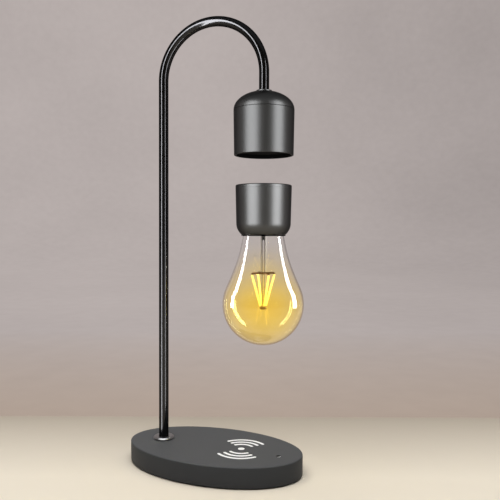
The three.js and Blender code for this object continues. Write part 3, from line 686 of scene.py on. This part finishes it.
class LAMP_OT_mark(bpy.types.Operator):
    """Print the charging mark: a dot and three arcs on either side"""

    bl_idname = "lamp.mark"
    bl_label = "Charging mark"
    arcs: bpy.props.IntProperty(name="Arcs", description="Arcs on each side of the dot", default=3)
    span: bpy.props.FloatProperty(
        name="Span", description="Angle of an arc", default=math.radians(98), subtype="ANGLE")
    turn: bpy.props.FloatProperty(
        name="Turn", description="Turn of the mark about its dot", default=math.radians(7), subtype="ANGLE")

    def execute(self, context):
        size = scene_sizes()
        ink = finish("white_print", scene_colours().mark, 0.5, grain=1500.0, depth=0.000004, spread=0.02)
        lengths = ("First", "Step", "Stroke", "Span", "Turn", "Across", "Height", "Thickness")
        inputs = {name: ("NodeSocketFloat", 0.0) for name in lengths}
        inputs["Arcs"] = ("NodeSocketInt", 1)
        tree = GeometryTree("charging_mark", inputs, shape=False)
        grid = {"Size X": 1.0, "Size Y": 1.0, "Vertices X": 49, "Vertices Y": 5}
        strip = tree.node("GeometryNodeMeshGrid", {}, grid)
        count = tree.value("Arcs") * 2.0
        line = tree.node("GeometryNodeMeshLine", {}, {"Count": count})
        placed = tree.node("GeometryNodeInstanceOnPoints", {}, {"Points": line, "Instance": strip})
        ring = tree.node("GeometryNodeInputIndex")
        ringed = {0: placed, "Name": "ring", "Value": ring}
        store = {"data_type": "FLOAT", "domain": "INSTANCE"}
        kept = tree.node("GeometryNodeStoreNamedAttribute", store, ringed)
        real = tree.node("GeometryNodeRealizeInstances", {}, {0: kept})
        number = tree.node("GeometryNodeInputNamedAttribute", {"data_type": "FLOAT"}, {"Name": "ring"})
        where = tree.node("GeometryNodeInputPosition")
        s = tree.node("ShaderNodeSeparateXYZ", {}, {0: where}, "X")
        v = tree.node("ShaderNodeSeparateXYZ", {}, {0: where}, "Y")
        side = number.maths("FLOORED_MODULO", number, 2.0)
        step = number.maths("FLOOR", (number + 0.01) / 2.0)
        radius = tree.value("First") + step * tree.value("Step")
        cap = tree.value("Stroke") / (radius * tree.value("Span"))
        beyond = ((s.maths("ABSOLUTE", s) * 2.0 - 1.0 + cap) / cap).clamped()
        breadth = (1.0 - beyond * beyond).maths("SQRT", (1.0 - beyond * beyond))
        reach = radius + v * tree.value("Stroke") * breadth
        turn = s * tree.value("Span") + side * math.pi + tree.value("Turn") + math.pi / 2
        place = tree.node("ShaderNodeCombineXYZ", {}, {
            "X": reach * turn.maths("COSINE", turn) + tree.value("Across"),
            "Y": reach * turn.maths("SINE", turn),
            "Z": tree.value("Height"),
        })
        bent = tree.node("GeometryNodeSetPosition", {}, {0: real, "Position": place})
        circle = {"Vertices": 40, "Radius": size.mark_dot}
        dot = tree.node("GeometryNodeMeshCircle", {"fill_type": "NGON"}, circle)
        middle = {"X": tree.value("Across"), "Z": tree.value("Height")}
        centred = tree.node("ShaderNodeCombineXYZ", {}, middle)
        moved = tree.node("GeometryNodeTransform", {}, {0: dot, "Translation": centred})
        both = tree.tree.nodes.new("GeometryNodeJoinGeometry")
        for part in (bent, moved):
            tree.tree.links.new(part.socket, both.inputs[0])
        flat = Socket(tree, both.outputs[0])
        raised = {0: flat, "Offset Scale": tree.value("Thickness"), "Individual": False}
        tree.end(tree.node("GeometryNodeExtrudeMesh", {}, raised), ink)
        made = made_object("charging_mark", bpy.data.meshes.new("charging_mark"))
        values = {
            "First": size.mark_first,
            "Step": size.mark_step,
            "Stroke": size.mark_stroke,
            "Span": self.span,
            "Turn": self.turn,
            "Arcs": self.arcs,
            "Across": size.mark_x,
            "Height": BASE_HIGH.z + 0.01 * MM,
            "Thickness": 0.06 * MM,
        }
        tree.on(made, values)
        self.close(made.data)
        dressed(made, "base", "white_plastic", ink)
        return {"FINISHED"}

    def close(self, mesh):
        """Gives each raised shape its underside, so that all are closed."""
        shape = bmesh.new()
        shape.from_mesh(mesh)
        bmesh.ops.remove_doubles(shape, verts=shape.verts, dist=SAME_PLACE)
        loose = [edge for edge in shape.edges if edge.is_boundary]
        bmesh.ops.holes_fill(shape, edges=loose, sides=0)
        bmesh.ops.recalc_face_normals(shape, faces=shape.faces)
        shape.to_mesh(mesh)
        shape.free()
        mark_sharp(mesh)


class LAMP_OT_stem(bpy.types.Operator):
    """Make the bent tube and the plate at its foot"""

    bl_idname = "lamp.stem"
    bl_label = "Stem"
    sides: bpy.props.IntProperty(name="Sides", description="Sides of the tube", default=48)
    steps: bpy.props.IntProperty(name="Steps", description="Steps round the bend", default=72)

    def execute(self, context):
        plating = stem_finish(scene_colours().stem)
        dressed(self.tube(plating), "base", "black_chrome", plating, "stem_tube")
        low, high = FLANGE_LOW.z, FLANGE_HIGH.z
        wide = (FLANGE_HIGH.x - FLANGE_LOW.x) / 2
        bore = (STEM_HIGH.y - STEM_LOW.y) / 2 + 0.12 * MM
        profile = softened([
            (bore, low - 0.1 * MM), (wide, low - 0.1 * MM, 0.2 * MM), (wide, low + 0.9 * MM, 0.35 * MM),
            (wide - 1.1 * MM, high, 0.5 * MM), (bore, high, 0.25 * MM),
        ])
        foot = turned("stem_foot", profile, POLE)
        satin = finish("satin_plating", (0.26, 0.26, 0.265), 0.3, 1.0, grain=1800.0)
        dressed(foot, "base", "black_chrome", satin, "stem_flange")
        return {"FINISHED"}

    def tube(self, plating):
        """A circle swept along the pole, the bend and the short leg into the head."""
        radius = (STEM_HIGH.y - STEM_LOW.y) / 2
        middle = (STEM_LOW.x + STEM_HIGH.x) / 2
        bend = (STEM_HIGH.x - STEM_LOW.x) / 2 - radius
        spring = STEM_HIGH.z - radius - bend
        leg_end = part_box("head_nut")[0].z
        turns = [math.pi * (1 - i / self.steps) for i in range(self.steps + 1)]
        points = [(middle - bend, 0, STEM_LOW.z)]
        points += [(middle + bend * math.cos(a), 0, spring + bend * math.sin(a)) for a in turns]
        points.append((middle + bend, 0, leg_end))
        line = bpy.data.curves.new("stem_pipe", "CURVE")
        line.dimensions = "3D"
        spline = line.splines.new("POLY")
        spline.points.add(len(points) - 1)
        for point, place in zip(spline.points, points):
            point.co = (*place, 1)
        inputs = {"Radius": ("NodeSocketFloat", 0.0), "Sides": ("NodeSocketInt", 16)}
        tree = GeometryTree("swept_tube", inputs)
        section = tree.node("GeometryNodeCurvePrimitiveCircle", {},
                            {"Resolution": tree.value("Sides"), "Radius": tree.value("Radius")})
        swept = tree.node("GeometryNodeCurveToMesh", {},
                          {"Curve": tree.value("Geometry"), "Profile Curve": section, "Fill Caps": True})
        tree.end(swept, plating)
        pipe = tree.on(made_object("stem_pipe", line), {"Radius": radius, "Sides": self.sides})
        mark_sharp(pipe.data)
        return pipe


class LAMP_OT_head(bpy.types.Operator):
    """Make the bell, its ring and the dark plate in its mouth"""

    bl_idname = "lamp.head"
    bl_label = "Head"

    def execute(self, context):
        size = scene_sizes()
        metal = metal_finish(scene_colours().metal)
        low, high = HEAD_LOW.z, HEAD_HIGH.z
        shoulder_radius = (HEAD_HIGH.x - HEAD_LOW.x) / 2
        mouth_radius = shoulder_radius - 0.5 * MM
        shoulder = low + size.shoulder
        wall = size.head_wall
        collar_low, collar_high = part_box("head_collar")
        flat = (collar_high.x - collar_low.x) / 2
        rise = (high - shoulder) / math.sqrt(1 - (flat / shoulder_radius) ** 2)
        end = math.degrees(math.acos(flat / shoulder_radius))
        groove, seam, step_in = 0.24 * MM, 0.35 * MM, 0.04 * MM
        crease = shoulder + 0.15 * MM
        outside = arc(0, shoulder + seam, shoulder_radius - step_in, rise - seam, 0, end, 28)
        bore = 3.95 * MM
        inside = arc(0, shoulder, shoulder_radius - wall, rise - wall, end, 0, 16)
        profile = softened([
            (mouth_radius - wall, low, 0.25 * MM), (mouth_radius, low, 0.35 * MM),
            (mouth_radius + 0.03 * MM, low + 2.2 * MM),
            (shoulder_radius, shoulder - 0.15 * MM, 0.1 * MM),
            (shoulder_radius - groove, crease), (shoulder_radius - groove, crease + 0.1 * MM),
        ]) + outside + [(bore, high), (bore, high - wall)] + inside
        bell = turned("head_bell", profile, sides=2 * ROUND)
        dressed(bell, "base", "gunmetal", metal, "head_shell")
        # near-black plastic, also used as painted shade inside the bell's mouth
        black = finish(
            "dark_plastic", (0.003, 0.003, 0.003), 0.8, grain=2200.0, **{"Specular IOR Level": 0.05})
        # painted shade: the bell's inner wall turns near-black
        shade_lined(bell, black)
        ring = turned("head_ring", softened([
            (bore, collar_low.z - 0.1 * MM), (flat, collar_low.z - 0.1 * MM),
            (flat, collar_high.z, 0.4 * MM), (bore, collar_high.z, 0.2 * MM),
        ]))
        dressed(ring, "base", "gunmetal", metal, "head_collar")
        plate_low, plate_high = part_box("head_face_plate")
        inner = mouth_radius - wall - 0.05 * MM
        disc = [(0, plate_low.z), (inner, plate_low.z), (inner, plate_high.z), (0, plate_high.z)]
        plate = turned("head_plate", disc, closed=False)
        dressed(plate, "base", "black_plastic", black, "head_face_plate")
        return {"FINISHED"}


class LAMP_OT_cap(bpy.types.Operator):
    """Make the floating cap: its cup, its lid and the dark ring at the neck"""

    bl_idname = "lamp.cap"
    bl_label = "Cap"
    curve: length("Lower curve", "Radius of the curve at the cap's lower end", 11 * MM)
    taper: length("Taper", "How much the cap narrows downwards", 0.6 * MM)

    def execute(self, context):
        metal = bpy.data.materials["satin_gunmetal"]
        wall = scene_sizes().cap_wall
        top_radius = (CAP_HIGH.x - CAP_LOW.x) / 2
        low_radius = top_radius - self.taper
        gasket_low, gasket_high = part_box("neck_gasket")
        mouth = (gasket_high.x - gasket_low.x) / 2 + 0.1 * MM
        centre = low_radius - self.curve
        end = math.acos((mouth - centre) / self.curve)
        level = CAP_LOW.z + self.curve * math.sin(end)
        turn = math.degrees(end)
        outside = arc(centre, level, self.curve, self.curve, -turn, 0, 22)
        inside = arc(centre, level, self.curve - wall, self.curve - wall, 0, -turn, 14)
        rim = LID_HIGH.z - 2.5 * MM
        below_rim = rim - 0.06 * MM
        profile = outside + [(top_radius, below_rim), (top_radius - wall, below_rim)] + inside
        cup = turned("cap_cup", profile, sides=2 * ROUND)
        dressed(cup, "bulb_unit", "gunmetal", metal, "cap_shell")
        edge = 0.9 * MM
        ceiling = LID_LOW.z + 1.9 * MM
        inner_skirt, outer_skirt = top_radius - wall - 1.5 * MM, top_radius - wall - 0.3 * MM
        crown = [(0, ceiling), (inner_skirt, ceiling), (inner_skirt, LID_LOW.z),
                 (outer_skirt, LID_LOW.z), (outer_skirt, rim), (top_radius, rim)]
        crown += arc(top_radius - edge, LID_HIGH.z - edge, edge, edge, 0, 90, 10)
        crown += [(top_radius * 0.5, LID_HIGH.z), (0, LID_HIGH.z)]
        lid = turned("cap_crown", crown, sides=2 * ROUND, closed=False)
        dressed(lid, "bulb_unit", "gunmetal", metal, "cap_lid")
        black = bpy.data.materials["dark_plastic"]
        outer = mouth - 0.1 * MM
        inner = outer - 0.6 * MM
        ring = turned("neck_ring", softened([
            (inner, gasket_low.z, 0.1 * MM), (outer, gasket_low.z, 0.25 * MM),
            (outer, gasket_high.z), (inner, gasket_high.z),
        ]))
        dressed(ring, "bulb_unit", "black_plastic", black, "neck_gasket")
        return {"FINISHED"}


class LAMP_OT_bulb(bpy.types.Operator):
    """Make the glass, its rod and the lit filaments"""

    bl_idname = "lamp.bulb"
    bl_label = "Bulb"
    neck: length("Neck", "Radius of the straight neck", 14.6 * MM)
    pull_low: length("Lower pull", "Strength of the curve where it leaves the globe", 14 * MM)
    pull_high: length("Upper pull", "Strength of the curve where it meets the neck", 20 * MM)
    stick: length("Stick", "Radius of a filament", 0.75 * MM)
    lean: length("Lean", "How far the curve leans out below the neck", 2 * MM)

    def execute(self, context):
        tone = scene_colours()
        wall = scene_sizes().glass_wall
        outside = self.outline(0.0, 40)
        inside = self.outline(wall, 36)
        envelope = turned("bulb_envelope", outside + list(reversed(inside)), closed=False)
        band = (GLASS_LOW.z + 22 * MM, GLASS_LOW.z + 78 * MM)
        clear = glass_with_painted_glow("lit_glass", tone.warm, tone.painted_glass_glow, *band, 0.1)
        dressed(envelope, "bulb_unit", "clear_glass", clear, "bulb_glass")
        self.works(tone)
        return {"FINISHED"}

    def outline(self, inset, steps):
        """An arc of the globe, one curve to the neck, and the straight neck."""
        radius = (GLASS_HIGH.x - GLASS_LOW.x) / 2
        centre = GLASS_LOW.z + radius
        radius -= inset
        leaves_at, curve_steps = 24, 24
        globe = arc(0, centre, radius, radius, -90, leaves_at, steps)
        globe[0] = (0, globe[0][1])
        end = math.radians(leaves_at)
        neck_low = GLASS_HIGH.z - 6 * MM
        first = Vector(globe[-1])
        second = first + Vector((-math.sin(end), math.cos(end))) * self.pull_low
        last = Vector((self.neck - inset, neck_low))
        third = last + Vector((self.lean, -self.pull_high))
        curve = []
        for i in range(1, curve_steps + 1):
            t = i / curve_steps
            weights = ((1 - t) ** 3, 3 * t * (1 - t) ** 2, 3 * t * t * (1 - t), t ** 3)
            pulls = zip(weights, (first, second, third, last))
            curve.append(tuple(sum((w * p for w, p in pulls), Vector((0, 0)))))
        return globe + curve + [(self.neck - inset, GLASS_HIGH.z)]

    def works(self, tone):
        """The rod with its flare, the arms, the hub and the filaments."""
        low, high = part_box("glass_stem")
        wide, thin = (high.x - low.x) / 2, 1.15 * MM
        flare = [
            (0, low.z), (thin, low.z), (thin, high.z - 11.5 * MM), (3.4 * MM, high.z - 6.9 * MM),
            (6.7 * MM, high.z - 2.4 * MM), (wide, high.z - 1.2 * MM), (wide, high.z), (0, high.z),
        ]
        stem = turned("bulb_rod", flare, sides=40, closed=False)
        rod_high = GLASS_LOW.z + 80 * MM
        # the rod takes a faint painted glow, and painted shade over most of its face
        clear = glass_with_painted_glow("rod_glass", tone.warm, tone.painted_glass_glow, GLASS_LOW.z, rod_high, 0.01, 0.1)
        dressed(stem, "bulb_unit", "clear_glass", clear, "glass_stem")
        wire = finish("dark_wire", (0.07, 0.02, 0.006), 0.5, 0.2)
        dressed(self.arms(), "bulb_unit", "plain_steel", wire, "filament_support")
        hub_low, hub_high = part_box("filament_hub")
        reach = (hub_high.x - hub_low.x) / 2
        boss = turned("filament_boss", softened([
            (0, hub_low.z), (reach * 0.75, hub_low.z, 0.2 * MM), (reach, hub_low.z + 0.5 * MM, 0.2 * MM),
            (reach, hub_high.z, 0.3 * MM), (0, hub_high.z),
        ]), sides=32, closed=False)
        dressed(boss, "bulb_unit", "plain_steel", wire, "filament_hub")
        lit = glow_finish(tone.glow)
        for i in range(1, 5):
            top, foot = self.ends(f"filament_{i}")
            stick = rod(f"filament_stick_{i}", foot, top, self.stick, 20, dome=self.stick)
            dressed(stick, "bulb_unit", "glowing_filament", lit, f"filament_{i}")
        pale = finish("bright_wire", (0.55, 0.52, 0.47), 0.35, 1.0)
        coloured(["lead_wire_1", "lead_wire_2"], pale)

    def ends(self, node):
        """Upper and lower end of a leaning filament, from the corners of its box."""
        low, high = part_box(node)
        shrink, inset = 0.63 * MM, 0.2 * MM
        far, near = [], []
        for k in (0, 1):
            pair = sorted((low[k] + shrink, high[k] - shrink), key=lambda place: abs(place - CENTRE[k]))
            near.append(pair[0])
            far.append(pair[1])
        return Vector((*far, high.z - inset)), Vector((*near, low.z + inset))

    def arms(self):
        """A hub round the rod and one hooked arm above each filament."""
        low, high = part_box("filament_support")
        level = (low.z + high.z) / 2
        bore, hub, edge = 1.4 * MM, 1.9 * MM, 0.2 * MM
        arm, hook_radius, dome, overlap = 0.75 * MM, 0.8 * MM, 0.3 * MM, 0.2 * MM
        parts = [turned("hub", softened([
            (bore, low.z), (hub, low.z, edge), (hub, high.z, edge), (bore, high.z),
        ]), sides=32)]
        for i in range(1, 5):
            top = self.ends(f"filament_{i}")[0]
            out = Vector((top.x - AXIS_X, top.y, 0)).normalized()
            start = CENTRE + out * 1.6 * MM + Vector((0, 0, level))
            tip = CENTRE + out * 9.0 * MM + Vector((0, 0, level))
            parts.append(rod("arm", start, tip, arm, 16, dome=dome))
            hook = top + Vector((0, 0, 0.1 * MM))
            parts.append(rod("hook", tip - out * overlap, hook, hook_radius, 16, dome=dome))
        return joined("filament_arms", parts)


class LAMP_OT_inside(bpy.types.Operator):
    """Give the pieces that keep their frame shape their own finishes"""

    bl_idname = "lamp.inside"
    bl_label = "Inner pieces"

    def execute(self, context):
        black = bpy.data.materials["dark_plastic"]
        steel = bpy.data.materials["zinc_steel"]
        coloured(["bottom_cover", "dc_jack", "neck_holder"], black)
        coloured(["base_weight", "stem_washer", "stem_nut", "head_nut"], steel)
        feet = [f"rubber_foot_{i}" for i in range(1, 5)]
        coloured(feet, finish("soft_rubber", (0.02, 0.02, 0.02), 0.85, grain=1800.0, depth=0.00004))
        coloured(["stem_wiring"], finish("cable_sheath", (0.02, 0.02, 0.02), 0.55))
        copper = finish("enamelled_copper", (0.45, 0.17, 0.07), 0.3, 1.0, grain=2600.0, depth=0.00006)
        coloured(["charging_coil", "transmit_coil", "electromagnet_coil", "receiver_coil"], copper)
        coloured(["ferrite_disc"], finish("ferrite_sheet", (0.035, 0.035, 0.04), 0.8))
        coloured(["iron_core"], finish("machined_iron", (0.22, 0.22, 0.22), 0.45, 1.0))
        coloured(["bias_magnet", "lift_magnet"], finish("nickel_plating", (0.6, 0.58, 0.54), 0.18, 1.0))
        board = finish("board_lacquer", (0.02, 0.13, 0.05), 0.4, **{"Coat Weight": 0.6})
        coloured(["control_board", "indicator_board", "head_board", "receiver_board"], board)
        moulded = finish("natural_moulding", (0.62, 0.6, 0.54), 0.5)
        coloured(["magnet_bobbin", "magnet_carrier"], moulded)
        return {"FINISHED"}


class LAMP_OT_stage(bpy.types.Operator):
    """Make the plain floor and backdrop, the soft lamps and the camera"""

    bl_idname = "lamp.stage"
    bl_label = "Stage"

    def execute(self, context):
        scene = context.scene
        scene.view_settings.view_transform = "Standard"
        self.set_floor()
        self.set_world(scene)
        self.set_lamps()
        camera = bpy.data.objects.new("camera", bpy.data.cameras.new("camera"))
        scene.collection.objects.link(camera)
        camera.data.sensor_width = 36
        camera.data.lens = 43.2
        camera.data.clip_start = 0.01
        camera.data.clip_end = 50
        camera.location = (0.1879, -0.4198, 0.1815)
        camera.rotation_euler = (math.radians(90 - 1.81), math.radians(-0.22), VIEW_TURN)
        scene.camera = camera
        return {"FINISHED"}

    def set_floor(self):
        """A wide round floor that turns up into a backdrop on all sides."""
        paper = paper_finish(scene_colours())
        flat, bend, height = 2.2, 1.2, 3.2
        wall = [(flat + bend * math.sin(a), bend - bend * math.cos(a)) for a in
                [math.radians(15 * i) for i in range(1, 7)]]
        profile = [(0, 0), (flat, 0), *wall, (flat + bend, height)]
        backdrop = turned("backdrop", profile, Vector(), closed=False)
        backdrop.data.flip_normals()
        backdrop.data.materials.append(paper)

    def set_world(self, scene):
        """A weak, slightly warm sky light."""
        world = bpy.data.worlds.new("soft_sky")
        scene.world = world
        world.use_nodes = True
        background = world.node_tree.nodes["Background"]
        background.inputs["Color"].default_value = (1.0, 0.985, 0.965, 1)
        background.inputs["Strength"].default_value = 0.3

    def lamp(self, name, place, aim, size, power):
        """A soft rectangular lamp at place that faces aim and is not seen itself."""
        data = bpy.data.lights.new(name, "AREA")
        data.shape = "RECTANGLE"
        data.size, data.size_y = size
        data.energy = power
        made = bpy.data.objects.new(name, data)
        bpy.context.scene.collection.objects.link(made)
        made.location = place
        made.rotation_euler = (aim - place).to_track_quat("-Z", "Y").to_euler()
        made.visible_camera = False
        return made

    def upright(self, name, centre, turn, height, size, power, pieces, through_floor=False):
        """An upright lamp for some pieces only, turned in degrees from the camera's side round centre."""
        angle = VIEW_TURN + math.radians(turn)
        level = Vector((0, 0, height))
        place = centre + level + Vector((math.sin(angle), -math.cos(angle), 0)) * LAMP_DISTANCE
        made = self.lamp(name, place, centre + level, size, power)
        made.light_linking.receiver_collection = self.listed(name + "_lights", pieces, "INCLUDE")
        if through_floor:
            made.light_linking.blocker_collection = self.listed(name + "_passes", ["backdrop"], "EXCLUDE")

    def listed(self, name, pieces, state):
        """A collection for light linking that includes or excludes the pieces."""
        group = bpy.data.collections.new(name)
        for piece in pieces:
            group.objects.link(bpy.data.objects[piece])
        for member in group.collection_objects:
            member.light_linking.link_state = state
        return group

    def set_lamps(self):
        """One lamp for all that is dull, and a pair for each polished or glass form."""
        head = ["head_bell", "head_ring"]
        cap = ["cap_cup", "cap_crown"]
        pipe = ["stem_pipe"]
        glass = ["bulb_envelope"]
        top = self.lamp("top_light", CENTRE + Vector((0, -0.25, 1.5)), CENTRE, (1.6, 1.6), 30)
        skipped = head + cap + glass + pipe
        top.light_linking.receiver_collection = self.listed("top_light_skips", skipped, "EXCLUDE")
        self.upright("head_left", CENTRE, -48, 0.3, (0.8, 1.5), 22, head)
        self.upright("head_right", CENTRE, 55, 0.3, (0.6, 1.5), 17.5, head)
        self.upright("cap_left", CENTRE, -47, 0.3, (0.76, 1.5), 27, cap)
        self.upright("cap_right", CENTRE, 55, 0.3, (0.6, 1.5), 24, cap)
        self.upright("line_left", POLE, -43, -0.3, (0.16, 2.1), 24, pipe, True)
        self.upright("line_right", POLE, 46, -0.3, (0.12, 2.1), 10, pipe, True)
        self.upright("streak_left", CENTRE, -97, 0.25, (0.2, 2.0), 26, glass)
        self.upright("streak_right", CENTRE, 97, 0.25, (0.24, 2.0), 30, glass)


class LAMP_PT_panel(bpy.types.Panel):
    """Lists the lamp's sizes, colours and pieces"""

    bl_label = "Levitating bulb lamp"
    bl_idname = "LAMP_PT_panel"
    bl_space_type = "VIEW_3D"
    bl_region_type = "UI"
    bl_category = "Lamp"

    def draw(self, context):
        layout = self.layout
        for group in (context.scene.lamp_sizes, context.scene.lamp_colours):
            for name in group.__annotations__:
                layout.prop(group, name)
        for operator in OPERATORS:
            layout.operator(operator.bl_idname)


OPERATORS = (
    LAMP_OT_base,
    LAMP_OT_mark,
    LAMP_OT_stem,
    LAMP_OT_head,
    LAMP_OT_cap,
    LAMP_OT_bulb,
    LAMP_OT_inside,
    LAMP_OT_stage,
)
CLASSES = (LampSizes, LampColours, *OPERATORS, LAMP_PT_panel)


def register():
    for made in CLASSES:
        bpy.utils.register_class(made)
    bpy.types.Scene.lamp_sizes = bpy.props.PointerProperty(type=LampSizes)
    bpy.types.Scene.lamp_colours = bpy.props.PointerProperty(type=LampColours)


def unregister():
    del bpy.types.Scene.lamp_colours
    del bpy.types.Scene.lamp_sizes
    for made in reversed(CLASSES):
        bpy.utils.unregister_class(made)


def main():
    register()
    for operator in OPERATORS:
        group, name = operator.bl_idname.split(".")
        getattr(getattr(bpy.ops, group), name)()


if __name__ == "__main__":
    main()
